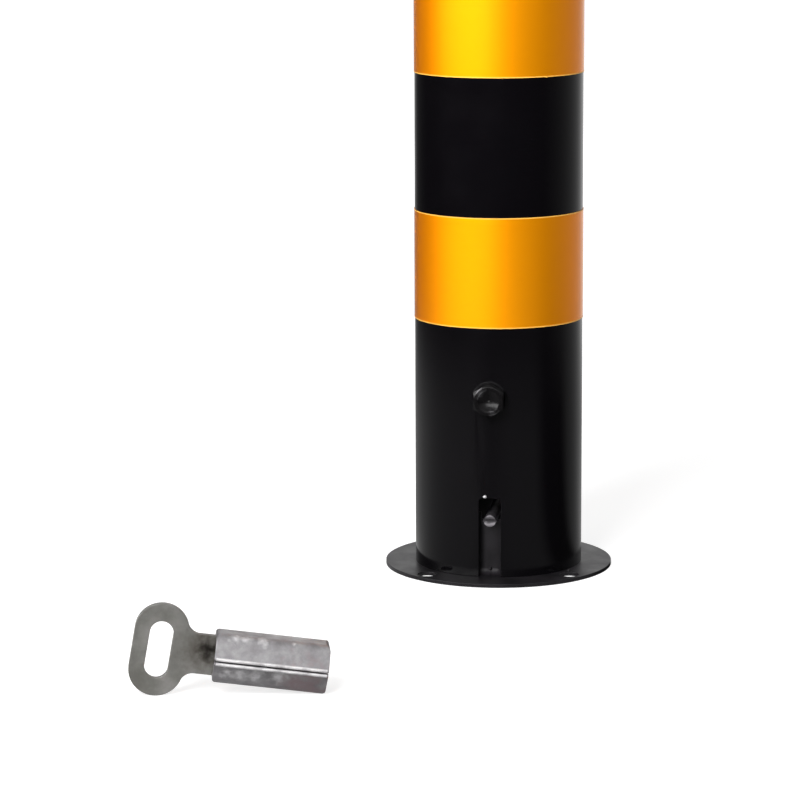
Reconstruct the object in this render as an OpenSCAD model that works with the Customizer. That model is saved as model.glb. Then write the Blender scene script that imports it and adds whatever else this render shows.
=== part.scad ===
// Removable warning post: a striped steel tube that drops over the collar of a
// bolted ground base, is locked on the base's cross bar by a swing hook, and is
// opened with a loose hexagon box key. Millimetres, +Z up, origin at the centre
// of the base flange's underside. The lock faces -Y.

/* [Post tube] */
// Outer diameter of the post
post_d = 114; // [100:1:140]
// Wall of the post tube
post_wall = 2; // [1.5:0.1:3]
// Black length from the foot to the lowest yellow band
foot_black = 169.5; // [150:0.5:300]
// Height of one yellow band
band_h = 74; // [40:1:120]
// Black length between two yellow bands
band_gap = 92.5; // [60:0.5:150]
// Black length above the highest yellow band
top_black = 58; // [20:1:120]
// Thickness of the reflective film
band_t = 0.35; // [0.2:0.05:0.6]
// Thickness of the glue under the film
glue_t = 0.05; // [0.05:0.05:0.1]

/* [Foot slots] */
// Width of a foot slot
slot_w = 15; // [12:0.5:18]
// Height of a foot slot
slot_h = 54; // [50:1:65]
// Corner radius at a slot's upper end
slot_r = 2.5; // [1:0.5:4]

/* [Top cap] */
// Height of the domed cap over the tube's end
cap_rise = 12.5; // [8:0.5:20]
// Wall of the cap
cap_wall = 2; // [1.5:0.1:3]
// Depth of the cap's spigot inside the tube
cap_spigot = 8; // [4:1:14]
// Gap between the cap's spigot and the tube
cap_fit = 0.2; // [0.1:0.05:0.4]
// Size of the weld preparation round the cap
cap_bevel = 1.2; // [0.8:0.1:1.4]

/* [Ground base] */
// Outer diameter of the flange
flange_d = 155; // [150:1:180]
// Thickness of the flange
flange_t = 2.5; // [2:0.25:5]
// Outer diameter of the collar
collar_d = 96; // [92:0.5:98]
// Wall of the collar
collar_wall = 2; // [1.5:0.1:3]
// Height of the collar's rim above the ground
collar_top = 45; // [42:1:50]
// Leg of the fillet weld at the collar's foot
collar_weld_leg = 4; // [2:0.25:4.5]
// Diameter of the anchor holes
anchor_d = 13; // [9:0.5:14]
// Pitch circle of the anchor holes
anchor_pcd = 136; // [134:0.5:138]
// Turn of the anchor holes about the post's axis
anchor_turn = 6; // [0:1:30]

/* [Cross bar] */
// Diameter of the cross bar
bar_d = 8; // [6:0.5:9]
// Length of the cross bar
bar_len = 113; // [108:0.5:113]
// Width of the notches in the collar's rim
notch_w = 13; // [10:0.5:16]
// How far the lengthwise ribs of the bar stand out
bar_rib = 0.5; // [0.3:0.1:0.8]
// Width of a lengthwise rib
bar_rib_w = 1.4; // [1:0.1:2]

/* [Lock] */
// Height of the lock's axis above the post's foot
lock_up = 122; // [116:1:130]
// Width across flats of the lock's hexagon head
head_af = 20; // [18:0.5:22]
// Height of the hexagon head
head_h = 7.7; // [5:0.1:10]
// Width of the round dish in the head's face
dish_w = 14.5; // [10:0.5:16]
// Depth of the dish
dish_depth = 2.4; // [1:0.1:3]
// Diameter of the spindle
spindle_d = 14; // [12:0.5:16]
// Radial running clearance of the spindle in its bush
spindle_fit = 0.08; // [0.03:0.01:0.1]
// Outer diameter of the bush
bush_d = 20; // [19:0.5:22]
// Length of the bush
bush_len = 36; // [30:1:38]
// How far the bush stands proud of the tube's front
bush_proud = 1; // [0.5:0.1:2]
// Leg of the weld round the bush
bush_weld_leg = 1.8; // [1:0.1:2.5]
// End play of the spindle in its bush
end_play = 0.2; // [0.1:0.05:0.5]

/* [Swing hook] */
// Thickness of the hook plate
hook_t = 6; // [4:0.5:8]
// Width of the hook's shank
shank_w = 9; // [8:0.5:10]
// Radius of the hook's hub
hub_r = 15; // [12:0.5:17]
// Radius of the hook's round counterweight
weight_r = 19; // [17:0.5:20]
// Distance of the counterweight's middle from the lock's axis
weight_off = 20; // [18:0.5:22]
// Depth of the claw under the bar
claw_h = 8; // [6:0.5:9]
// Gap between the locked claw and the bar
claw_gap = 1.5; // [1:0.1:2]
// Gap between the locked shank and the bar
shank_gap = 2; // [1.5:0.1:2.5]
// Reach of the claw past the bar's middle
claw_reach = 7; // [5:0.5:8]
// Turn between locked and open
open_turn = 12.5; // [12:0.5:13]
// Side of the spindle's square
square_w = 10; // [8:0.5:11]
// Gap between the square and the hook's hole
square_fit = 0.1; // [0.05:0.05:0.2]

/* [Lock fasteners] */
// Thickness of the disc spring
spring_t = 2; // [1.2:0.1:3]
// Thickness of the plain washer
washer_t = 2; // [1.2:0.1:3]
// Diameter of the spindle's threaded end
thread_d = 9.5; // [8:0.5:10]
// Outer diameter of both washers
washer_d = 21; // [18:0.5:24]
// Radial gap between a washer and the spindle
washer_fit = 0.3; // [0.1:0.1:0.6]
// Width across flats of the nut
nut_af = 17; // [15:0.5:19]
// Height of the nut
nut_h = 8; // [5:0.5:10]
// Thread that shows past the nut
thread_out = 2.5; // [1:0.5:4]

/* [Key] */
// Radial gap between the key's socket and the lock's head
key_fit = 0.3; // [0.2:0.05:0.5]
// Wall of the key's folded socket
key_wall = 4.5; // [3.5:0.1:5]
// Inner bend radius of the socket
key_bend = 1; // [0.5:0.1:2]
// Length of the socket
socket_len = 67.5; // [50:0.5:90]
// Radius of the socket's end corners
socket_end_r = 3; // [1:0.5:5]
// Gap along the socket's seam
seam_gap = 0.8; // [0.4:0.1:1.5]
// Rounding of the sheet's edges along the seam
seam_edge = 0.9; // [0.4:0.1:1.5]
// Thickness of the handle plate
plate_t = 4; // [3:0.25:5]
// Width of the neck
neck_w = 23.9; // [23:0.1:26]
// Length of the neck
neck_len = 16.6; // [12:0.1:30]
// Depth of the plate's tang in the socket
tang_len = 12; // [8:0.5:20]
// Gap between the tang and the socket
tang_fit = 0.1; // [0.05:0.05:0.2]
// Concave corner radius between neck and handle
neck_r = 8; // [4:0.5:12]
// Width of the handle
handle_w = 32.2; // [28:0.1:40]
// Height of the handle
handle_h = 56; // [50:0.5:80]
// Lean of the handle against the socket
handle_lean = 2.5; // [0:0.5:5]
// Width of the finger slot
finger_w = 14; // [10:0.5:16]
// Height of the finger slot
finger_h = 34.8; // [24:0.1:40]
// Leg of the weld between tang and socket
key_weld_leg = 2.5; // [1.5:0.25:3]
// Place of the key beside the post, left and right
key_x = -131; // [-220:1:-90]
// Place of the key before the post
key_y = -360; // [-500:1:-120]
// Turn of the key on the ground
key_turn = 12; // [0:1:20]

/* [Hidden] */
$fn = 180;
// Small overrun that lets a cut pass a face
over = 1;
// Small step that lets two arcs cross where they would only touch
crossing = 0.05;

black = "#17161a";
yellow = "#f8b400";
steel = "#8f9091";

post_r = post_d / 2;
post_bore_r = post_r - post_wall;
foot_z = flange_t;
tube_len = foot_black + 3 * band_h + 2 * band_gap + top_black;
tube_top = foot_z + tube_len;
dome_r = (post_r * post_r + cap_rise * cap_rise) / (2 * cap_rise);

collar_r = collar_d / 2;
collar_bore_r = collar_r - collar_wall;
bar_r = bar_d / 2;
bar_z = collar_top - bar_r;

lock_z = foot_z + lock_up;
bush_r = bush_d / 2;
bush_front = post_r + bush_proud;
bush_back = bush_front - bush_len;
head_back = bush_front + end_play;
head_front = head_back + head_h;
spring_front = bush_back - end_play;
hook_front = spring_front - spring_t;
hook_back = hook_front - hook_t;
nut_front = hook_back - washer_t;
nut_back = nut_front - nut_h;
spindle_back = nut_back - thread_out;

// The bar lies bar_drop below the lock's axis, and the hook is laid out from there
bar_drop = lock_z - bar_z;
claw_in = bar_drop + bar_r + claw_gap;
claw_out = claw_in + claw_h;
claw_mid = (claw_in + claw_out) / 2;
shank_off = bar_r + shank_gap + shank_w / 2;
shank_turn = asin(shank_off / bar_drop);
tip_turn = -asin(claw_reach / claw_mid);

key_af = head_af + 2 * key_fit;
key_out_af = key_af + 2 * key_wall;
handle_mid = -neck_len - handle_w / 2;
handle_end = (handle_h - handle_w) / 2;
handle_low = [handle_mid - handle_end * sin(handle_lean), -handle_end * cos(handle_lean)];
handle_high = [handle_mid + handle_end * sin(handle_lean), handle_end * cos(handle_lean)];
// The key stands on the round of its handle and on its socket's lower end corner
toe = [socket_len - socket_end_r, -key_out_af / 2 + socket_end_r];
toe_run = toe[0] - handle_low[0];
toe_rise = toe[1] - handle_low[1];
key_tilt = atan2(toe_rise, toe_run)
    + asin((handle_w / 2 - socket_end_r) / sqrt(toe_run * toe_run + toe_rise * toe_rise));
key_z = handle_w / 2 + handle_low[0] * sin(key_tilt) - handle_low[1] * cos(key_tilt);

// Ring about Z from radius r1 to radius r2
module ring(r1, r2, z, h) {
    translate([0, 0, z]) difference() {
        cylinder(r = r2, h = h);
        translate([0, 0, -over]) cylinder(r = r1, h = h + 2 * over);
    }
}

// Puts a shape drawn about Z on the lock's axis, with its Z towards the front
module on_lock(front) {
    translate([0, -front, lock_z]) rotate([90, 0, 0]) children();
}

// Round bar along the lock's axis between two distances from the post's axis
module lock_rod(r, front, back) {
    on_lock(back) cylinder(r = r, h = front - back);
}

// Slot outline with round upper corners, its foot on Y = 0
module slot_outline(w, h, r) {
    translate([-w / 2, -over]) square([w, h - r + over]);
    translate([-w / 2 + r, -over]) square([w - 2 * r, h + over]);
    for (side = [-1, 1]) translate([side * (w / 2 - r), h - r]) circle(r);
}

// Upright stadium outline about the origin
module stadium(w, h) {
    square([w, h - w], center = true);
    for (end = [-1, 1]) translate([0, end * (h - w) / 2]) circle(d = w);
}

// Hexagon with flats above and below and round corners
module round_hexagon(af, r) {
    reach = (af / 2 - r) / cos(30);
    corners = [for (k = [0 : 5]) for (side = [-30, 30])
        [reach * cos(60 * k) + r * cos(60 * k + side), reach * sin(60 * k) + r * sin(60 * k + side)]];
    polygon(corners);
    for (k = [0 : 5]) translate([reach * cos(60 * k), reach * sin(60 * k)]) circle(r);
}

module base_flange() {
    color(black) difference() {
        ring(collar_bore_r, flange_d / 2, 0, flange_t);
        for (k = [0 : 3]) rotate(anchor_turn + 45 + 90 * k)
            translate([anchor_pcd / 2, 0, -over]) cylinder(d = anchor_d, h = flange_t + 2 * over);
    }
}

module base_collar() {
    color(black) difference() {
        ring(collar_bore_r, collar_r, flange_t, collar_top - flange_t);
        for (end = [-1, 1]) translate([-notch_w / 2, end * collar_r - collar_wall * 2, bar_z - bar_r])
            cube([notch_w, collar_wall * 4, bar_d + over]);
    }
}

// Hollow-faced fillet weld round the collar's foot
module collar_weld() {
    color(black) rotate_extrude() translate([collar_r, flange_t]) difference() {
        square(collar_weld_leg);
        translate([collar_weld_leg, collar_weld_leg]) circle(collar_weld_leg);
    }
}

// Round bar with two lengthwise ribs, laid in the notches of the collar's rim
module cross_bar() {
    color("#6b686b") translate([0, 0, bar_z]) {
        translate([0, bar_len / 2, 0]) rotate([90, 0, 0]) cylinder(r = bar_r, h = bar_len);
        for (side = [-1, 1]) translate([side * bar_r, 0, 0])
            cube([2 * bar_rib, bar_len, bar_rib_w], center = true);
    }
}

// Weld that fills each notch either side of the bar
module bar_welds() {
    fill_h = bar_r - bar_rib_w / 2;
    color(black) for (end = [-1, 1]) intersection() {
        difference() {
            translate([-notch_w / 2, end * (collar_r - collar_wall / 2) - collar_wall / 2, bar_z - bar_r])
                cube([notch_w, collar_wall, fill_h]);
            translate([0, end * collar_r + 2 * collar_wall, bar_z]) rotate([90, 0, 0])
                cylinder(r = bar_r, h = 4 * collar_wall);
        }
        ring(collar_bore_r, collar_r, 0, collar_top);
    }
}

module post_tube() {
    color(black) difference() {
        ring(post_bore_r, post_r, foot_z, tube_len);
        translate([0, post_r + over, foot_z]) rotate([90, 0, 0])
            linear_extrude(post_d + 2 * over) slot_outline(slot_w, slot_h, slot_r);
        lock_rod(bush_r, bush_front + over, 0);
        rotate_extrude() cap_bevel_outline();
    }
}

// Half section of the groove that the cap's weld fills, in the tube and in the cap
module cap_bevel_outline() {
    translate([post_r, tube_top]) rotate(45) square(cap_bevel * sqrt(2), center = true);
}

// Pressed dome with a spigot that centres it in the tube
module top_cap() {
    spigot_r = post_bore_r - cap_fit;
    color(black) difference() {
        union() {
            intersection() {
                translate([0, 0, tube_top + cap_rise - dome_r]) sphere(dome_r);
                translate([0, 0, tube_top]) cylinder(r = post_r, h = cap_rise + over);
            }
            translate([0, 0, tube_top - cap_spigot]) cylinder(r = spigot_r, h = cap_spigot);
        }
        intersection() {
            translate([0, 0, tube_top + cap_rise - dome_r]) sphere(dome_r - cap_wall);
            translate([0, 0, tube_top - over]) cylinder(r = spigot_r - cap_wall, h = cap_rise + over);
        }
        translate([0, 0, tube_top - cap_spigot - over])
            cylinder(r = spigot_r - cap_wall, h = cap_spigot + over);
        rotate_extrude() cap_bevel_outline();
    }
}

// Weld bead in the groove between the tube and its cap
module cap_weld() {
    color(black) rotate_extrude() intersection() {
        cap_bevel_outline();
        translate([post_r - cap_bevel / 2, tube_top]) circle(cap_bevel / 2 + 0.1);
    }
}

// One wrap of reflective film, counted from the foot
module band(k) {
    low = foot_z + foot_black + k * (band_h + band_gap);
    color(yellow) ring(post_r + glue_t, post_r + glue_t + band_t, low, band_h);
}

module band_lower() { band(0); }

module band_middle() { band(1); }

module band_upper() { band(2); }

module lock_bush() {
    color(black) difference() {
        lock_rod(bush_r, bush_front, bush_back);
        lock_rod(spindle_d / 2 + spindle_fit, bush_front + over, bush_back - over);
    }
}

// Weld that runs round the bush on the tube's front
module bush_weld() {
    color(black) difference() {
        lock_rod(bush_r + bush_weld_leg, bush_front - bush_proud / 4, 0);
        lock_rod(bush_r, bush_front + over, -over);
        cylinder(r = post_r, h = tube_top);
    }
}

// Hexagon head with a dished face, round spindle, square for the hook and a threaded end
module lock_spindle() {
    head_r = head_af / 2 / cos(30);
    dish_r = (dish_w * dish_w / 4 + dish_depth * dish_depth) / (2 * dish_depth);
    color(black) {
        difference() {
            intersection() {
                on_lock(head_back) rotate(30 + 60) cylinder(r = head_r, h = head_h, $fn = 6);
                on_lock(head_back) cylinder(r1 = head_r + head_h, r2 = head_af / 2 - 0.4, h = head_h);
            }
            on_lock(head_front + dish_r - dish_depth) sphere(dish_r);
        }
        lock_rod(spindle_d / 2, head_back, spring_front);
        lock_rod(square_w / 2, spring_front, hook_back);
        intersection() {
            translate([-square_w / 2, -hook_front, lock_z - square_w / 2])
                cube([square_w, hook_t, square_w]);
            lock_rod(spindle_d / 2, hook_front, hook_back);
        }
        lock_rod(thread_d / 2, hook_back, spindle_back);
    }
}

// Disc spring that keeps the hook where it is turned
module spring_washer() {
    hole_r = square_w / 2 + washer_fit;
    color(steel) on_lock(hook_front) rotate_extrude()
        polygon([[hole_r, spring_t / 3], [washer_d / 2, 0], [washer_d / 2, spring_t * 2 / 3],
                 [hole_r, spring_t]]);
}

// Sector of the hook's plane between two turns from straight down
module sector(from, to, reach) {
    polygon([[0, 0], [reach * sin(from), -reach * cos(from)],
             [reach * sin((from + to) / 2), -reach * cos((from + to) / 2)],
             [reach * sin(to), -reach * cos(to)]]);
}

// Flat hook with a counterweight, drawn locked and turned to its open place
module lock_hook() {
    color(steel) on_lock(hook_back) rotate(open_turn) linear_extrude(hook_t) difference() {
        union() {
            circle(hub_r);
            translate([-weight_off, 0]) circle(weight_r);
            intersection() {
                circle(claw_out);
                union() {
                    rotate(shank_turn) translate([-shank_w / 2, -claw_out - over])
                        square([shank_w, claw_out]);
                    difference() {
                        sector(tip_turn, shank_turn, claw_out + claw_h);
                        circle(claw_in);
                    }
                }
            }
            rotate(tip_turn) translate([0, -claw_mid]) circle(claw_h / 2 - crossing);
        }
        rotate(-open_turn) square(square_w + 2 * square_fit, center = true);
    }
}

module hook_washer() {
    color(steel) difference() {
        lock_rod(washer_d / 2, hook_back, nut_front);
        lock_rod(thread_d / 2 + washer_fit, hook_back + over, nut_front - over);
    }
}

module hook_nut() {
    color(steel) difference() {
        on_lock(nut_back) cylinder(r = nut_af / 2 / cos(30), h = nut_h, $fn = 6);
        lock_rod(thread_d / 2, nut_front + over, nut_back - over);
    }
}

// Stands the key, drawn along X with its plate upright, in its place on the ground
module place_key() {
    translate([key_x, key_y, key_z]) rotate([0, key_tilt, key_turn]) children();
}

// Hexagon tube folded from sheet, with its seam along the front corner
module key_socket() {
    half = key_out_af / 2;
    color(steel) place_key() intersection() {
        rotate([90, 0, 90]) linear_extrude(socket_len) difference() {
            round_hexagon(key_out_af, key_bend + key_wall);
            round_hexagon(key_af, key_bend);
            translate([-key_out_af, -seam_gap / 2]) square([key_out_af, seam_gap]);
            translate([-(half - key_bend - key_wall) / cos(30) - key_bend - key_wall, 0]) rotate(45)
                square(seam_gap + 2 * seam_edge, center = true);
        }
        rotate([90, 0, 0]) linear_extrude(4 * half, center = true) {
            translate([0, -half + socket_end_r]) square([socket_len, key_out_af - 2 * socket_end_r]);
            translate([socket_end_r, -half]) square([socket_len - 2 * socket_end_r, key_out_af]);
            for (x = [socket_end_r, socket_len - socket_end_r]) for (side = [-1, 1])
                translate([x, side * (half - socket_end_r)]) circle(socket_end_r);
        }
    }
}

// Concave corner between the neck's upper edge and the round end of the handle at end
module neck_corner(end) {
    end_r = handle_w / 2;
    rise = neck_w / 2 + neck_r - end[1];
    run = sqrt(pow(end_r + neck_r, 2) - rise * rise);
    centre = [end[0] + run, neck_w / 2 + neck_r];
    touch = end + (centre - end) * end_r / (end_r + neck_r);
    difference() {
        polygon([end, [centre[0], 0], [centre[0], neck_w / 2], touch]);
        translate(centre) circle(neck_r + crossing);
    }
}

// Flat handle with a finger slot, a neck and a tang that enters the socket
module key_handle() {
    tang_h = key_af - 2 * tang_fit;
    color(steel) place_key() rotate([90, 0, 0]) linear_extrude(plate_t, center = true) difference() {
        union() {
            translate([handle_mid, 0]) rotate(-handle_lean) stadium(handle_w, handle_h);
            translate([handle_mid, -neck_w / 2]) square([-handle_mid, neck_w]);
            translate([-over, -tang_h / 2]) square([tang_len + over, tang_h]);
            neck_corner(handle_high);
            mirror([0, 1]) neck_corner([handle_low[0], -handle_low[1]]);
        }
        translate([handle_mid, 0]) rotate(-handle_lean) stadium(finger_w, finger_h);
    }
}

// Four fillet welds between the tang and the socket's upper and lower flats
module key_weld() {
    flat_z = key_af / 2;
    color("#2a2624") place_key() for (up = [-1, 1]) for (side = [-1, 1])
        scale([1, side, up]) translate([1, plate_t / 2, 0]) rotate([90, 0, 90])
            linear_extrude(tang_len - 1) polygon([[0, flat_z], [key_weld_leg, flat_z],
                [key_weld_leg / 3, flat_z - key_weld_leg / 3], [0, flat_z - key_weld_leg]]);
}

base_flange();
base_collar();
collar_weld();
cross_bar();
bar_welds();
post_tube();
top_cap();
cap_weld();
band_lower();
band_middle();
band_upper();
lock_bush();
bush_weld();
lock_spindle();
spring_washer();
lock_hook();
hook_washer();
hook_nut();
key_socket();
key_handle();
key_weld();
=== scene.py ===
import math

import bmesh
import bpy
from mathutils import Matrix, Vector


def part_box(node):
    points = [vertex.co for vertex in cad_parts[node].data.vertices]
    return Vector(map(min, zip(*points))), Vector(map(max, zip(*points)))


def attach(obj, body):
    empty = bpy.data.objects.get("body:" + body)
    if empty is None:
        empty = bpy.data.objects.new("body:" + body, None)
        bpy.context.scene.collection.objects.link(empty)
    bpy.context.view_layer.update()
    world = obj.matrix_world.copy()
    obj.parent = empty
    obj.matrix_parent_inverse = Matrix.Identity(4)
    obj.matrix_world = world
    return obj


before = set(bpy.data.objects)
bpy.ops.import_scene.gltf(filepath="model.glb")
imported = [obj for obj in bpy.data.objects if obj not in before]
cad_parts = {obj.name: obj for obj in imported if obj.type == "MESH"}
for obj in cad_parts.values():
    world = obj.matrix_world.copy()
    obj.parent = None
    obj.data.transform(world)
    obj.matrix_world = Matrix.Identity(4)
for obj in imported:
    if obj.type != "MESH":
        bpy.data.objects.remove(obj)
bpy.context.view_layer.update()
mm = 0.001

# Camera
# The photograph was taken from the front, a little to the right of the lock, and from above.
# The values were found by fitting a camera to the edges of the bands and of the foot.
camera_distance = 2.2734
camera_height = 0.5302
camera_azimuth = math.radians(6)
camera_pitch = math.radians(10.384)
camera_pan = math.radians(1.656)
camera_roll = math.radians(0.25)
camera_lens = 151.85
sensor_width = 36
camera_data = bpy.data.cameras.new("camera")
camera_data.lens = camera_lens
camera_data.sensor_width = sensor_width
camera = bpy.data.objects.new("camera", camera_data)
camera.location = (camera_distance * math.sin(camera_azimuth),
                   -camera_distance * math.cos(camera_azimuth), camera_height)
camera.rotation_euler = (math.pi / 2 - camera_pitch, camera_roll, camera_azimuth + camera_pan)
bpy.context.collection.objects.link(camera)
bpy.context.scene.camera = camera
bpy.context.scene.view_settings.view_transform = "Standard"


# Studio
# A white floor in a white room. Mirroring surfaces see a darker room in front of the post, with
# one tall bright panel on the left, so that the black paint stays black and the film glows.
def linear(colour):
    """Linear RGBA of an sRGB hex colour."""
    parts = [int(colour[k:k + 2], 16) / 255 for k in (1, 3, 5)]
    return (*[p / 12.92 if p <= 0.04045 else ((p + 0.055) / 1.055) ** 2.4 for p in parts], 1)


def add_node(tree, kind, inputs=None, stops=None, **settings):
    """Adds a node. Inputs are values or sockets to link from, stops a ramp's places with colours or greys."""
    made = tree.nodes.new(kind)
    for name, value in settings.items():
        setattr(made, name, value)
    for name, value in (inputs or {}).items():
        if isinstance(value, bpy.types.NodeSocket):
            tree.links.new(value, made.inputs[name])
        else:
            made.inputs[name].default_value = value
    for k, (place, colour) in enumerate(stops or []):
        knot = made.color_ramp.elements[k] if k < 2 else made.color_ramp.elements.new(place)
        knot.position = place
        knot.color = colour if isinstance(colour, tuple) else (colour, colour, colour, 1)
    return made


def new_material(name):
    """An empty material and its node tree."""
    made = bpy.data.materials.new(name)
    made.use_nodes = True
    made.node_tree.nodes.clear()
    return made, made.node_tree


def turn_round_post(tree, point):
    """Socket with the turn of a point round the post, from 0 to 1, with the front in the middle."""
    axes = add_node(tree, "ShaderNodeSeparateXYZ", {0: point})
    front = add_node(tree, "ShaderNodeMath", {0: axes.outputs["Y"], 1: -1.0}, operation="MULTIPLY")
    turn = add_node(tree, "ShaderNodeMath", {0: axes.outputs["X"], 1: front.outputs[0]}, operation="ARCTAN2")
    return add_node(tree, "ShaderNodeMapRange", {
        "Value": turn.outputs[0], "From Min": -math.pi, "From Max": math.pi}).outputs[0]


def brightness(tree, turn, levels):
    """Socket with the brightness at a turn, from a list of angles in degrees and their levels."""
    return add_node(tree, "ShaderNodeValToRGB", {"Fac": turn},
                    [(angle / 360 + 0.5, level) for angle, level in levels]).outputs["Color"]


def ray_kinds(tree):
    """Sockets that are 1 for a ray that shows the background itself, and for a mirrored ray."""
    ray = add_node(tree, "ShaderNodeLightPath")
    seen = add_node(tree, "ShaderNodeMath", {
        0: ray.outputs["Is Camera Ray"], 1: ray.outputs["Is Transmission Ray"]}, operation="MAXIMUM")
    return seen.outputs[0], ray.outputs["Is Glossy Ray"]


# Brightness of the room as surfaces mirror it, by the turn in degrees from the front to the right:
# white behind, the panel on the front left, and dark elsewhere in front.
room_round = [(-180, 1.0), (-152, 0.9), (-136, 0.2), (-104, 0.1), (-90, 1.2), (-70, 12.0), (-12, 12.0),
              (15, 1.8), (50, 0.5), (80, 0.2), (112, 0.5), (135, 1.1), (168, 1.0), (180, 1.0)]
# Heights are those of a direction: 0 at the horizon and 1 straight up. Walls and panel end above
# the floor, so that the black fields, which mirror the horizon, stay black. The ceiling is even.
panel_foot = 0.02
panel_full = 0.2
panel_faint = 0.05
ceiling_foot = 0.25
ceiling_full = 0.55
ceiling_light = 0.95
# What the room gives to a surface that doesn't mirror it.
room_light = 0.45
world = bpy.data.worlds.new("white_room")
world.use_nodes = True
tree = world.node_tree
tree.nodes.clear()
look = add_node(tree, "ShaderNodeTexCoord").outputs["Generated"]
height = add_node(tree, "ShaderNodeSeparateXYZ", {0: look}).outputs["Z"]
panel = add_node(tree, "ShaderNodeMapRange", {
    "Value": height, "From Min": panel_foot, "From Max": panel_full, "To Min": panel_faint},
    interpolation_type="SMOOTHSTEP")
walls = add_node(tree, "ShaderNodeMath", {
    0: brightness(tree, turn_round_post(tree, look), room_round), 1: panel.outputs[0]}, operation="MULTIPLY")
ceiling = add_node(tree, "ShaderNodeMapRange", {
    "Value": height, "From Min": ceiling_foot, "From Max": ceiling_full}, interpolation_type="SMOOTHSTEP")
mirrored = add_node(tree, "ShaderNodeMix", {
    "Factor": ceiling.outputs[0], "A": walls.outputs[0], "B": ceiling_light}, data_type="FLOAT")
seen, glossy = ray_kinds(tree)
lit = add_node(tree, "ShaderNodeMix", {
    "Factor": glossy, "A": room_light, "B": mirrored.outputs[0]}, data_type="FLOAT")
strength = add_node(tree, "ShaderNodeMix", {"Factor": seen, "A": lit.outputs[0], "B": 1.0}, data_type="FLOAT")
sky = add_node(tree, "ShaderNodeBackground", {"Color": linear("#ffffff"), "Strength": strength.outputs[0]})
add_node(tree, "ShaderNodeOutputWorld", {"Surface": sky.outputs[0]})
bpy.context.scene.world = world

# Brightness of the floor as surfaces mirror it. Close to the post, on the right, it is painted dark like a
# card.
near_floor_round = [(-180, 0.2), (-140, 0.35), (-100, 0.62), (-26, 0.6), (-4, 0.26), (22, 0.42), (54, 0.42),
                    (70, 0.03), (97, 0.03), (111, 0.32), (140, 0.45), (180, 0.4)]
# Further off the floor is dark in front, and the post's upper black field mirrors that.
far_floor_round = [(-180, 1.0), (-160, 0.5), (-142, 0.1), (-110, 0.03), (0, 0.04), (70, 0.06), (110, 0.4),
                   (140, 0.6), (168, 1.0), (180, 1.0)]
near_floor_end = 0.5
far_floor_start = 1.3
# The floor lies a hair below the ground, so that it doesn't coincide with the flange's underside.
floor_reach = 30.0
floor_drop = 0.05
# The floor glows, so that it shows as white, and keeps the post's shadow. The ground inside the
# collar, which is 46 mm in radius, doesn't glow, and beyond the shadow the floor glows fully.
floor_glow = 0.72
collar_dark_r = 44
collar_lit_r = 47
full_glow_start = 0.8
full_glow_end = 2.4
shape = bmesh.new()
bmesh.ops.create_grid(shape, x_segments=1, y_segments=1, size=floor_reach)
floor_mesh = bpy.data.meshes.new("floor")
shape.to_mesh(floor_mesh)
shape.free()
floor = bpy.data.objects.new("floor", floor_mesh)
floor.location.z = -floor_drop * mm
bpy.context.collection.objects.link(floor)
floor_paint, tree = new_material("white_floor")
place = add_node(tree, "ShaderNodeTexCoord").outputs["Object"]
away = add_node(tree, "ShaderNodeVectorMath", {0: place}, operation="LENGTH").outputs["Value"]
glow = add_node(tree, "ShaderNodeMapRange", {
    "Value": away, "From Min": collar_dark_r * mm, "From Max": collar_lit_r * mm, "To Max": floor_glow})
beyond = add_node(tree, "ShaderNodeMapRange", {
    "Value": away, "From Min": full_glow_start, "From Max": full_glow_end, "To Max": 1 - floor_glow})
glow = add_node(tree, "ShaderNodeMath", {0: glow.outputs[0], 1: beyond.outputs[0]}, operation="ADD")
matt = add_node(tree, "ShaderNodeBsdfDiffuse", {"Color": linear("#bcbcbc")})
glow = add_node(tree, "ShaderNodeEmission", {"Color": linear("#ffffff"), "Strength": glow.outputs[0]})
white = add_node(tree, "ShaderNodeAddShader", {0: matt.outputs[0], 1: glow.outputs[0]})
far = add_node(tree, "ShaderNodeMapRange", {
    "Value": away, "From Min": near_floor_end, "From Max": far_floor_start}, interpolation_type="SMOOTHSTEP")
turn = turn_round_post(tree, place)
mirrored = add_node(tree, "ShaderNodeMix", {
    "Factor": far.outputs[0], "A": brightness(tree, turn, near_floor_round),
    "B": brightness(tree, turn, far_floor_round)}, data_type="FLOAT")
mirror = add_node(tree, "ShaderNodeEmission", {"Color": linear("#ffffff"), "Strength": mirrored.outputs[0]})
seen, glossy = ray_kinds(tree)
surface = add_node(tree, "ShaderNodeMixShader", {0: seen, 1: matt.outputs[0], 2: white.outputs[0]})
surface = add_node(tree, "ShaderNodeMixShader", {0: glossy, 1: surface.outputs[0], 2: mirror.outputs[0]})
add_node(tree, "ShaderNodeOutputMaterial", {"Surface": surface.outputs[0]})
floor_mesh.materials.append(floor_paint)


def add_lamp(name, place, aim, width, height, power, spread=math.pi):
    """A soft rectangular lamp at place that looks at aim. Glossy surfaces show the room's panel instead."""
    data = bpy.data.lights.new(name, "AREA")
    data.shape = "RECTANGLE"
    data.size = width
    data.size_y = height
    data.energy = power
    data.spread = spread
    lamp = bpy.data.objects.new(name, data)
    lamp.location = place
    lamp.rotation_euler = (Vector(place) - Vector(aim)).to_track_quat("Z", "Y").to_euler()
    lamp.visible_glossy = False
    bpy.context.collection.objects.link(lamp)


post_middle = (0, 0, 0.3)
post_head = (0, 0, 0.6)
add_lamp("key_lamp", (-0.55, -2.1, 1.5), post_middle, width=0.9, height=1.4, power=58)
add_lamp("fill_lamp", (2.2, -1.6, 1.2), post_middle, width=0.8, height=1.4, power=4)
add_lamp("top_lamp", (-0.5, -1.3, 1.0), post_head, width=0.5, height=0.3, power=2.5, spread=math.radians(50))


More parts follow.
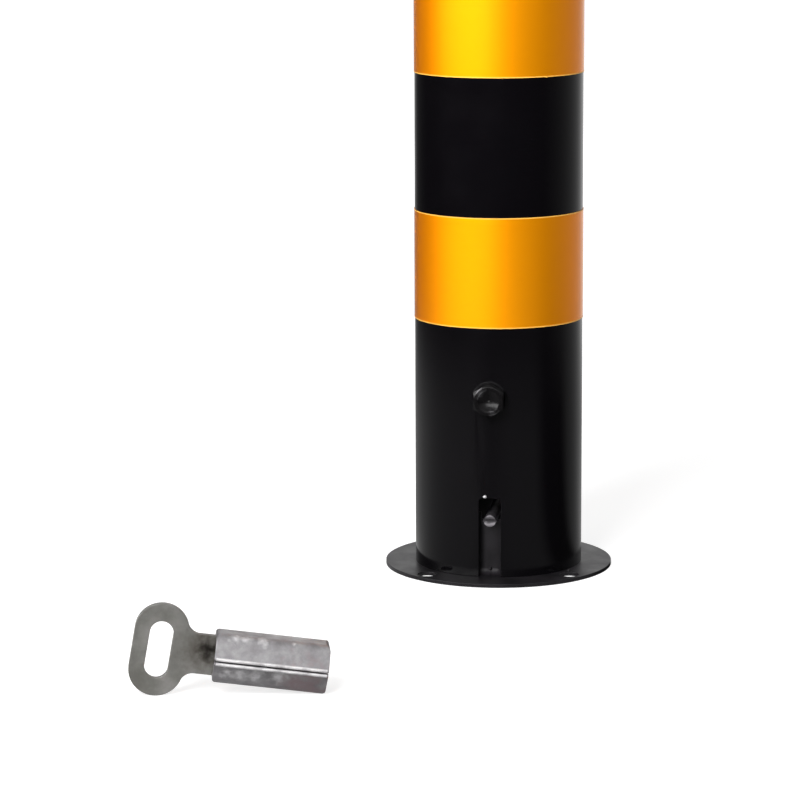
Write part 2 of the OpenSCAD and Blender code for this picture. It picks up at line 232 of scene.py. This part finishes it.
# Post tube, cap and bush
# Drawn steel tube and a pressed cap, welded and then powder coated black. The coat is
# glossy, with the faint orange peel of powder, and gives soft streaks of the room.
def dress(names, material):
    """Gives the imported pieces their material."""
    for name in names:
        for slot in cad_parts[name].material_slots:
            slot.material = material


peel_width = 2.2
peel_depth = 0.006
haze_width = 40
coat_edge_r = 0.7
powder_coat, tree = new_material("gloss_black_powder_coat")
place = add_node(tree, "ShaderNodeTexCoord").outputs["Object"]
peel = add_node(tree, "ShaderNodeTexNoise", {
    "Vector": place, "Scale": 1 / (peel_width * mm), "Detail": 2.0, "Roughness": 0.4})
soft_edge = add_node(tree, "ShaderNodeBevel", {"Radius": coat_edge_r * mm}, samples=6)
bump = add_node(tree, "ShaderNodeBump", {
    "Height": peel.outputs["Fac"], "Strength": 1.0, "Distance": peel_depth * mm,
    "Normal": soft_edge.outputs[0]})
haze = add_node(tree, "ShaderNodeTexNoise", {"Vector": place, "Scale": 1 / (haze_width * mm), "Detail": 3.0})
dull = add_node(tree, "ShaderNodeMapRange", {
    "Value": haze.outputs["Fac"], "From Min": 0.3, "From Max": 0.7, "To Min": 0.1, "To Max": 0.2})
coat = add_node(tree, "ShaderNodeBsdfPrincipled", {
    "Base Color": linear("#060507"), "IOR": 1.5, "Specular IOR Level": 0.15, "Roughness": dull.outputs[0],
    "Normal": bump.outputs[0]})
add_node(tree, "ShaderNodeOutputMaterial", {"Surface": coat.outputs[0]})
dress(["post_tube", "top_cap", "cap_weld", "lock_bush", "bush_weld"], powder_coat)

# Reflective bands
# Wraps of yellow prismatic film. Its lens layer returns light in its own colour, so it is part
# metallic, under a clear glossy face. It is slightly wavy where it was smoothed on by hand.
wave_width = 16.7
wave_depth = 0.05
film, tree = new_material("yellow_reflective_film")
place = add_node(tree, "ShaderNodeTexCoord").outputs["Object"]
waves = add_node(tree, "ShaderNodeTexNoise", {"Vector": place, "Scale": 1 / (wave_width * mm), "Detail": 2.0})
bump = add_node(tree, "ShaderNodeBump", {
    "Height": waves.outputs["Fac"], "Strength": 0.4, "Distance": wave_depth * mm})
face = add_node(tree, "ShaderNodeBsdfPrincipled", {
    "Base Color": linear("#ffc408"), "Metallic": 0.7, "Roughness": 0.42, "Specular IOR Level": 0.15,
    "Coat Weight": 1.0, "Coat Roughness": 0.16, "Coat IOR": 1.27, "Coat Tint": linear("#ffd078"),
    "Normal": bump.outputs[0]})
add_node(tree, "ShaderNodeOutputMaterial", {"Surface": face.outputs[0]})
bands = ["band_lower", "band_middle", "band_upper"]
dress(bands, film)

# Where the film is cut, its pale core shows as a light line.
cut_film, tree = new_material("cut_film_edge")
face = add_node(tree, "ShaderNodeBsdfPrincipled", {"Base Color": linear("#f0b348"), "Roughness": 0.4})
add_node(tree, "ShaderNodeOutputMaterial", {"Surface": face.outputs[0]})


def add_piece(name, shape, material, body):
    """Makes a finished object of a bmesh whose places are in metres."""
    bmesh.ops.remove_doubles(shape, verts=shape.verts[:], dist=0.001 * mm)
    bmesh.ops.recalc_face_normals(shape, faces=shape.faces[:])
    mesh = bpy.data.meshes.new(name)
    shape.to_mesh(mesh)
    shape.free()
    mesh.materials.append(material)
    piece = bpy.data.objects.new(name, mesh)
    bpy.context.collection.objects.link(piece)
    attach(piece, body)


def ring_section(shape, radii, heights, start=0.0):
    """Corners of a ring's section at an angle from +X. The radii and heights are in millimetres."""
    (inner, outer), (low, high) = radii, heights
    return [shape.verts.new((r * math.cos(start) * mm, r * math.sin(start) * mm, z * mm))
            for r, z in ((inner, low), (outer, low), (outer, high), (inner, high))]


def add_ring(shape, radii, heights, steps=144):
    """Adds a ring round the post's axis."""
    corners = ring_section(shape, radii, heights)
    edges = [shape.edges.new((corner, corners[k - 1])) for k, corner in enumerate(corners)]
    bmesh.ops.spin(shape, geom=edges, cent=(0, 0, 0), axis=(0, 0, 1), angle=2 * math.pi, steps=steps,
                   use_merge=True)


def add_ring_piece(shape, radii, heights, start, turn, steps=10):
    """Adds a closed piece of a ring, which begins at the angle start from +X."""
    face = shape.faces.new(ring_section(shape, radii, heights, start))
    bmesh.ops.spin(shape, geom=[face], cent=(0, 0, 0), axis=(0, 0, 1), angle=turn, steps=steps)


film_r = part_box("band_lower")[1].x / mm
film_inset = 0.1
cut_height = 0.7
cut_proud = 0.06
lap_proud = 0.3
lap_margin = 0.2
lap_start = math.radians(84)
lap_turn = math.radians(11)
band_heights = [[corner.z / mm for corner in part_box(band)] for band in bands]
shape = bmesh.new()
for low, high in band_heights:
    for foot in (low, high - cut_height):
        add_ring(shape, (film_r - film_inset, film_r + cut_proud), (foot, foot + cut_height))
add_piece("band_cut_edges", shape, cut_film, "post")
# At the rear the end of each wrap lies over its beginning.
shape = bmesh.new()
for low, high in band_heights:
    add_ring_piece(shape, (film_r - film_inset, film_r + lap_proud), (low + lap_margin, high - lap_margin),
                   lap_start, lap_turn)
add_piece("band_overlaps", shape, film, "post")

# Ground base
# Steel plate and a short tube, welded and painted black by spray. The coat is thinner and duller
# than the post's and rounds the cut edges. Its grit is drawn coarser than real, so that it shows.
grit_width = 1.43
grit_depth = 0.03
dust_width = 22.2
paint_edge_r = 0.6
base_paint, tree = new_material("sprayed_satin_black_paint")
place = add_node(tree, "ShaderNodeTexCoord").outputs["Object"]
grit = add_node(tree, "ShaderNodeTexNoise", {"Vector": place, "Scale": 1 / (grit_width * mm), "Detail": 3.0})
soft_edge = add_node(tree, "ShaderNodeBevel", {"Radius": paint_edge_r * mm}, samples=6)
bump = add_node(tree, "ShaderNodeBump", {
    "Height": grit.outputs["Fac"], "Strength": 0.5, "Distance": grit_depth * mm,
    "Normal": soft_edge.outputs[0]})
dust = add_node(tree, "ShaderNodeTexNoise", {
    "Vector": place, "Scale": 1 / (dust_width * mm), "Detail": 5.0, "Roughness": 0.65})
tone = add_node(tree, "ShaderNodeValToRGB", {"Fac": dust.outputs["Fac"]},
                [(0.35, linear("#111012")), (0.7, linear("#1f1d20"))])
dull = add_node(tree, "ShaderNodeMapRange", {
    "Value": dust.outputs["Fac"], "From Min": 0.3, "From Max": 0.7, "To Min": 0.28, "To Max": 0.45})
coat = add_node(tree, "ShaderNodeBsdfPrincipled", {
    "Base Color": tone.outputs[0], "Roughness": dull.outputs[0], "IOR": 1.5, "Specular IOR Level": 0.2,
    "Normal": bump.outputs[0]})
add_node(tree, "ShaderNodeOutputMaterial", {"Surface": coat.outputs[0]})
dress(["base_flange", "base_collar"], base_paint)

# The beads are welded by hand, so they are a row of ripples, which a wave round the post's axis
# draws. The paint over them is as dull as the plate's.
bead_r = 50
ripple_pitch = 7.54
ripple_depth = 0.25
drift_width = 5.56
weld_paint, tree = new_material("painted_weld_bead")
place = add_node(tree, "ShaderNodeTexCoord").outputs["Object"]
axes = add_node(tree, "ShaderNodeSeparateXYZ", {0: place})
turn = add_node(tree, "ShaderNodeMath", {0: axes.outputs["X"], 1: axes.outputs["Y"]}, operation="ARCTAN2")
drift = add_node(tree, "ShaderNodeTexNoise", {
    "Vector": place, "Scale": 1 / (drift_width * mm), "Detail": 2.0})
wave = add_node(tree, "ShaderNodeMath", {
    0: turn.outputs[0], 1: 2 * math.pi * bead_r / ripple_pitch, 2: drift.outputs["Fac"]},
    operation="MULTIPLY_ADD")
wave = add_node(tree, "ShaderNodeMath", {0: wave.outputs[0]}, operation="SINE")
bump = add_node(tree, "ShaderNodeBump", {
    "Height": wave.outputs[0], "Strength": 0.8, "Distance": ripple_depth * mm})
coat = add_node(tree, "ShaderNodeBsdfPrincipled", {
    "Base Color": linear("#1c1a1d"), "Roughness": 0.42, "Specular IOR Level": 0.2, "Normal": bump.outputs[0]})
add_node(tree, "ShaderNodeOutputMaterial", {"Surface": coat.outputs[0]})
dress(["collar_weld", "bar_welds"], weld_paint)

# The bar is a piece of ribbed reinforcing steel, painted thinly, with its crests rubbed bright.
# Its cross ribs lean, as they are rolled, so the wave that draws them runs along Y and up.
rib_pitch = 3.2
rib_depth = 0.3
rib_lean = 0.5
rub_width = 3.85
crest_share = 0.12
bar_steel, tree = new_material("rubbed_ribbed_bar")
place = add_node(tree, "ShaderNodeTexCoord").outputs["Object"]
axes = add_node(tree, "ShaderNodeSeparateXYZ", {0: place})
rib = add_node(tree, "ShaderNodeMath", {0: axes.outputs["Z"], 1: rib_lean, 2: axes.outputs["Y"]},
               operation="MULTIPLY_ADD")
rib = add_node(tree, "ShaderNodeMath", {0: rib.outputs[0], 1: 2 * math.pi / (rib_pitch * mm)},
               operation="MULTIPLY")
rib = add_node(tree, "ShaderNodeMath", {0: rib.outputs[0]}, operation="SINE")
bump = add_node(tree, "ShaderNodeBump", {
    "Height": rib.outputs[0], "Strength": 0.8, "Distance": rib_depth * mm})
rub = add_node(tree, "ShaderNodeTexNoise", {"Vector": place, "Scale": 1 / (rub_width * mm), "Detail": 4.0})
rub = add_node(tree, "ShaderNodeMath", {0: rib.outputs[0], 1: crest_share, 2: rub.outputs["Fac"]},
               operation="MULTIPLY_ADD")
tone = add_node(tree, "ShaderNodeValToRGB", {"Fac": rub.outputs[0]},
                [(0.38, linear("#242225")), (0.62, linear("#625f63"))])
coat = add_node(tree, "ShaderNodeBsdfPrincipled", {
    "Base Color": tone.outputs[0], "Metallic": 0.5, "Roughness": 0.5, "Normal": bump.outputs[0]})
add_node(tree, "ShaderNodeOutputMaterial", {"Surface": coat.outputs[0]})
dress(["cross_bar"], bar_steel)

# Drops that the welding torch threw on the collar and the flange, under the paint: the angle from
# the front, the radius, the height and the drop's own radius.
spatter = ((-0.6, 48.2, 6.5, 1.3), (12, 48.1, 9, 0.8), (34, 48.1, 5.5, 0.9), (-31, 56, 2.5, 0.9),
           (58, 60, 2.5, 1.0), (-72, 55, 2.5, 0.8), (140, 57, 2.5, 1.1), (200, 48.1, 8, 1.0))
shape = bmesh.new()
for angle, r, z, size in spatter:
    turn = math.radians(angle - 90)
    place = Matrix.Translation(Vector((r * math.cos(turn), r * math.sin(turn), z)) * mm)
    bmesh.ops.create_icosphere(shape, subdivisions=3, radius=size * mm, matrix=place)
add_piece("weld_spatter", shape, weld_paint, "base")

# Over the front slot, where the cutting torch entered, sits a small drop; its pale colour is a painted
# highlight.
slot_drop = (-3.2, -57.0, 57.7)
slot_drop_r = 1.2
highlight_drop_steel, tree = new_material("painted_highlight_drop")
face = add_node(tree, "ShaderNodeBsdfPrincipled", {
    "Base Color": linear("#cfcdce"), "Metallic": 0.6, "Roughness": 0.3})
add_node(tree, "ShaderNodeOutputMaterial", {"Surface": face.outputs[0]})
shape = bmesh.new()
bmesh.ops.create_icosphere(shape, subdivisions=3, radius=slot_drop_r * mm,
                           matrix=Matrix.Translation(Vector(slot_drop) * mm))
add_piece("slot_drop", shape, highlight_drop_steel, "post")


# Lock
# A forged hexagon head on a turned spindle, painted with the post. Pale steel shows on its edges only at the
# upper
# left and the lower right: painted highlights where the light catches them, laid on the edges' wear.
ragged_width = 5


def spot(tree, place, middle, size, raggedness=0.6):
    """Socket that is 1 at a middle in millimetres and falls to 0, raggedly, at its size."""
    ragged = add_node(tree, "ShaderNodeTexNoise", {
        "Vector": place, "Scale": 1 / (ragged_width * mm), "Detail": 4.0})
    shift = add_node(tree, "ShaderNodeVectorMath", {0: ragged.outputs["Color"], 1: (0.5, 0.5, 0.5)},
                     operation="SUBTRACT")
    shift = add_node(tree, "ShaderNodeVectorMath", {0: shift.outputs[0], "Scale": 2 * raggedness * size * mm},
                     operation="SCALE")
    shift = add_node(tree, "ShaderNodeVectorMath", {0: place, 1: shift.outputs[0]}, operation="ADD")
    off = add_node(tree, "ShaderNodeVectorMath", {0: shift.outputs[0], 1: Vector(middle) * mm},
                   operation="DISTANCE")
    return add_node(tree, "ShaderNodeMapRange", {
        "Value": off.outputs["Value"], "From Min": size * mm, "From Max": 0.0},
        interpolation_type="SMOOTHSTEP").outputs[0]


forged_width = 3.85
forged_depth = 0.3
head_edge_r = 0.7
# These two spots place the painted highlights on the head's edges, at the upper left and the lower right.
upper_highlight = (-7, -69, 132)
upper_highlight_size = 7
lower_highlight = (3.5, -69, 115)
lower_highlight_size = 6
lock_paint, tree = new_material("black_paint_wear_and_painted_highlight")
place = add_node(tree, "ShaderNodeTexCoord").outputs["Object"]
forged = add_node(tree, "ShaderNodeTexNoise", {
    "Vector": place, "Scale": 1 / (forged_width * mm), "Detail": 3.0})
edge = add_node(tree, "ShaderNodeBevel", {"Radius": head_edge_r * mm}, samples=8)
bump = add_node(tree, "ShaderNodeBump", {
    "Height": forged.outputs["Fac"], "Strength": 0.8, "Distance": forged_depth * mm,
    "Normal": edge.outputs[0]})
flat = add_node(tree, "ShaderNodeNewGeometry")
sharp = add_node(tree, "ShaderNodeVectorMath", {0: edge.outputs[0], 1: flat.outputs["Normal"]},
                 operation="DOT_PRODUCT")
wear_and_highlight = add_node(tree, "ShaderNodeMapRange", {
    "Value": sharp.outputs["Value"], "From Min": 0.99, "From Max": 0.93})
wear_and_highlight = add_node(tree, "ShaderNodeMapRange", {"Value": wear_and_highlight.outputs[0], "To Min": 0.1, "To Max": 1.4})
# The edges turn to pale steel only inside the painted highlight spots.
highlight_spots = add_node(tree, "ShaderNodeMath", {
    0: spot(tree, place, upper_highlight, upper_highlight_size), 1: spot(tree, place, lower_highlight, lower_highlight_size)},
    operation="ADD")
wear_and_highlight = add_node(tree, "ShaderNodeMath", {0: wear_and_highlight.outputs[0], 1: highlight_spots.outputs[0]},
                operation="MULTIPLY", use_clamp=True)
tone = add_node(tree, "ShaderNodeMix", {
    "Factor": wear_and_highlight.outputs[0], "A": linear("#060506"), "B": linear("#bcbabe")}, data_type="RGBA")
coat = add_node(tree, "ShaderNodeBsdfPrincipled", {
    "Base Color": tone.outputs["Result"], "Metallic": wear_and_highlight.outputs[0], "Roughness": 0.24,
    "Specular IOR Level": 0.16, "Normal": bump.outputs[0]})
add_node(tree, "ShaderNodeOutputMaterial", {"Surface": coat.outputs[0]})
dress(["lock_spindle"], lock_paint)

# The parts inside the post are zinc plated, which shows as a dull grey spangle.
spangle_width = 3.33
zinc_edge_r = 0.4
zinc, tree = new_material("dull_zinc_plate")
place = add_node(tree, "ShaderNodeTexCoord").outputs["Object"]
spangle = add_node(tree, "ShaderNodeTexVoronoi", {"Vector": place, "Scale": 1 / (spangle_width * mm)})
tone = add_node(tree, "ShaderNodeMix", {
    "Factor": spangle.outputs["Distance"], "A": linear("#8f9392"), "B": linear("#b9bcbb")}, data_type="RGBA")
soft_edge = add_node(tree, "ShaderNodeBevel", {"Radius": zinc_edge_r * mm}, samples=6)
coat = add_node(tree, "ShaderNodeBsdfPrincipled", {
    "Base Color": tone.outputs["Result"], "Metallic": 1.0, "Roughness": 0.4,
    "Normal": soft_edge.outputs[0]})
add_node(tree, "ShaderNodeOutputMaterial", {"Surface": coat.outputs[0]})
dress(["spring_washer", "lock_hook", "hook_washer", "hook_nut"], zinc)

# Key
# The socket is sheet steel folded round a former with a hammer and left bare: dented, rubbed, and with
# painted highlights on its bends and seam. The handle is a darker flat plate, welded in and scorched, with
# painted shade there.

# The imported key starts at key_place, falls by key_tilt along its length and is turned by key_turn.
key_place = Vector((-131, -360, 23.397)) * mm
key_tilt = math.radians(7.756)
key_turn = math.radians(12)
key_matrix = (Matrix.Translation(key_place) @ Matrix.Rotation(key_turn, 4, "Z")
              @ Matrix.Rotation(key_tilt, 4, "Y"))


def along_key(tree):
    """Socket with the place on the key, in metres along it, across it and up."""
    place = add_node(tree, "ShaderNodeTexCoord")
    return add_node(tree, "ShaderNodeMapping", {
        "Vector": place.outputs["Object"], "Location": key_place, "Rotation": (0, key_tilt, key_turn)},
        vector_type="TEXTURE").outputs[0]


def stains_and_painted_light(tree, tone, marks, place):
    """Socket with a tone under spots, given as their middle, size, raggedness and hex colour."""
    for middle, size, raggedness, colour in marks:
        tone = add_node(tree, "ShaderNodeMix", {
            "Factor": spot(tree, place, middle, size, raggedness), "A": tone, "B": linear(colour)},
            data_type="RGBA").outputs["Result"]
    return tone


# The lines of rolling are drawn coarser than the real ones, so that they show.
dent_width = 7
dent_depth = 0.3
line_length = 8.33
line_width = 0.714
line_depth = 0.03
socket_patch_width = 10.5
socket_edge_r = 0.8
reddish = "#9b8b8e"
rubbed_and_highlight = "#d9d7d9"
# The reddish spot is a rust tint. The pale spots along the upper bend and below the seam are rubbed steel
# with painted highlight.
socket_marks = (
    ((54, -11, -11), 22, 1.1, reddish),
    ((8, -12, -6), 6, 1.0, rubbed_and_highlight), ((16, -12, -7), 7, 1.0, rubbed_and_highlight), ((25, -12, -6), 6, 1.0, rubbed_and_highlight),
    ((39, -12, -5), 7, 1.0, rubbed_and_highlight), ((11, -9, 14), 5, 1.0, rubbed_and_highlight), ((17, -9, 14), 4, 1.0, rubbed_and_highlight),
    ((27, -9, 14), 5, 1.0, rubbed_and_highlight), ((46, -9, 14), 3, 1.0, rubbed_and_highlight))
socket_steel, tree = new_material("hammered_bare_steel")
place = along_key(tree)
dents = add_node(tree, "ShaderNodeTexNoise", {"Vector": place, "Scale": 1 / (dent_width * mm), "Detail": 2.0})
across = 1 / (line_width * mm)
drawn = add_node(tree, "ShaderNodeVectorMath", {0: place, 1: (1 / (line_length * mm), across, across)},
                 operation="MULTIPLY")
lines = add_node(tree, "ShaderNodeTexNoise", {"Vector": drawn.outputs[0], "Scale": 1.0, "Detail": 3.0})
soft_edge = add_node(tree, "ShaderNodeBevel", {"Radius": socket_edge_r * mm}, samples=6)
bump = add_node(tree, "ShaderNodeBump", {
    "Height": dents.outputs["Fac"], "Strength": 1.0, "Distance": dent_depth * mm,
    "Normal": soft_edge.outputs[0]})
bump = add_node(tree, "ShaderNodeBump", {
    "Height": lines.outputs["Fac"], "Strength": 0.5, "Distance": line_depth * mm, "Normal": bump.outputs[0]})
patch = add_node(tree, "ShaderNodeTexNoise", {
    "Vector": place, "Scale": 1 / (socket_patch_width * mm), "Detail": 5.0, "Roughness": 0.6})
tone = add_node(tree, "ShaderNodeValToRGB", {"Fac": patch.outputs["Fac"]},
                [(0.3, linear("#868385")), (0.5, linear("#999799")), (0.7, linear("#b0aeb0"))])
dull = add_node(tree, "ShaderNodeMapRange", {
    "Value": patch.outputs["Fac"], "From Min": 0.3, "From Max": 0.7, "To Min": 0.5, "To Max": 0.34})
coat = add_node(tree, "ShaderNodeBsdfPrincipled", {
    "Base Color": stains_and_painted_light(tree, tone.outputs[0], socket_marks, place), "Metallic": 0.9,
    "Roughness": dull.outputs[0], "Normal": bump.outputs[0]})
add_node(tree, "ShaderNodeOutputMaterial", {"Surface": coat.outputs[0]})
dress(["key_socket"], socket_steel)

# The handle's plate is plain hot rolled steel, whose fine pits are drawn coarser than real ones.
plate_patch_width = 14.3
plate_edge_r = 0.6
pit_width = 1.11
pit_depth = 0.04
# The plate is darker at its lower left. At the neck, next to the socket's open end, it is scorched, and the
# dark middle there is painted shade.
plate_scorch_and_shade = (((-43, -2, -20), 18, 0.6, "#6c6b66"), ((-6, -2, 3), 21, 0.6, "#5f5b55"),
               ((-4, -2, 3), 9, 0.6, "#1d1a18"))
plate_steel, tree = new_material("scorched_plate_painted_shade")
place = along_key(tree)
patch = add_node(tree, "ShaderNodeTexNoise", {
    "Vector": place, "Scale": 1 / (plate_patch_width * mm), "Detail": 5.0, "Roughness": 0.6})
tone = add_node(tree, "ShaderNodeValToRGB", {"Fac": patch.outputs["Fac"]},
                [(0.3, linear("#6e6d69")), (0.5, linear("#81807c")), (0.7, linear("#918f8c"))])
pits = add_node(tree, "ShaderNodeTexNoise", {"Vector": place, "Scale": 1 / (pit_width * mm), "Detail": 3.0})
soft_edge = add_node(tree, "ShaderNodeBevel", {"Radius": plate_edge_r * mm}, samples=6)
bump = add_node(tree, "ShaderNodeBump", {
    "Height": pits.outputs["Fac"], "Strength": 0.5, "Distance": pit_depth * mm,
    "Normal": soft_edge.outputs[0]})
coat = add_node(tree, "ShaderNodeBsdfPrincipled", {
    "Base Color": stains_and_painted_light(tree, tone.outputs[0], plate_scorch_and_shade, place), "Metallic": 0.85, "Roughness": 0.46,
    "Normal": bump.outputs[0]})
add_node(tree, "ShaderNodeOutputMaterial", {"Surface": coat.outputs[0]})
dress(["key_handle", "key_weld"], plate_steel)

# Along the seam the sheet's two edges are drawn up; their pale colour is a painted highlight.
socket_len = 67.5
lip_r = 1.0
lip_out = 15.6
lip_up = 1.45
lip_margin = 0.8
lip_steps = 20
uneven_width = 6.25
uneven_depth = 0.3
seam_highlight_edge, tree = new_material("seam_edge_painted_highlight")
uneven = add_node(tree, "ShaderNodeTexNoise", {
    "Vector": along_key(tree), "Scale": 1 / (uneven_width * mm), "Detail": 3.0})
bump = add_node(tree, "ShaderNodeBump", {
    "Height": uneven.outputs["Fac"], "Strength": 1.0, "Distance": uneven_depth * mm})
tone = add_node(tree, "ShaderNodeValToRGB", {"Fac": uneven.outputs["Fac"]},
                [(0.3, linear("#c2c0c2")), (0.6, linear("#f4f2f3"))])
coat = add_node(tree, "ShaderNodeBsdfPrincipled", {
    "Base Color": tone.outputs[0], "Metallic": 0.75, "Roughness": 0.28, "Normal": bump.outputs[0]})
add_node(tree, "ShaderNodeOutputMaterial", {"Surface": coat.outputs[0]})
shape = bmesh.new()
for side in (-1, 1):
    middle = Matrix.Translation(Vector((socket_len / 2, -lip_out, side * lip_up)) * mm)
    bmesh.ops.create_cone(shape, cap_ends=True, segments=lip_steps, radius1=lip_r * mm, radius2=lip_r * mm,
                          depth=(socket_len - 2 * lip_margin) * mm,
                          matrix=key_matrix @ middle @ Matrix.Rotation(math.pi / 2, 4, "Y"))
add_piece("key_seam_lips", shape, seam_highlight_edge, "base")
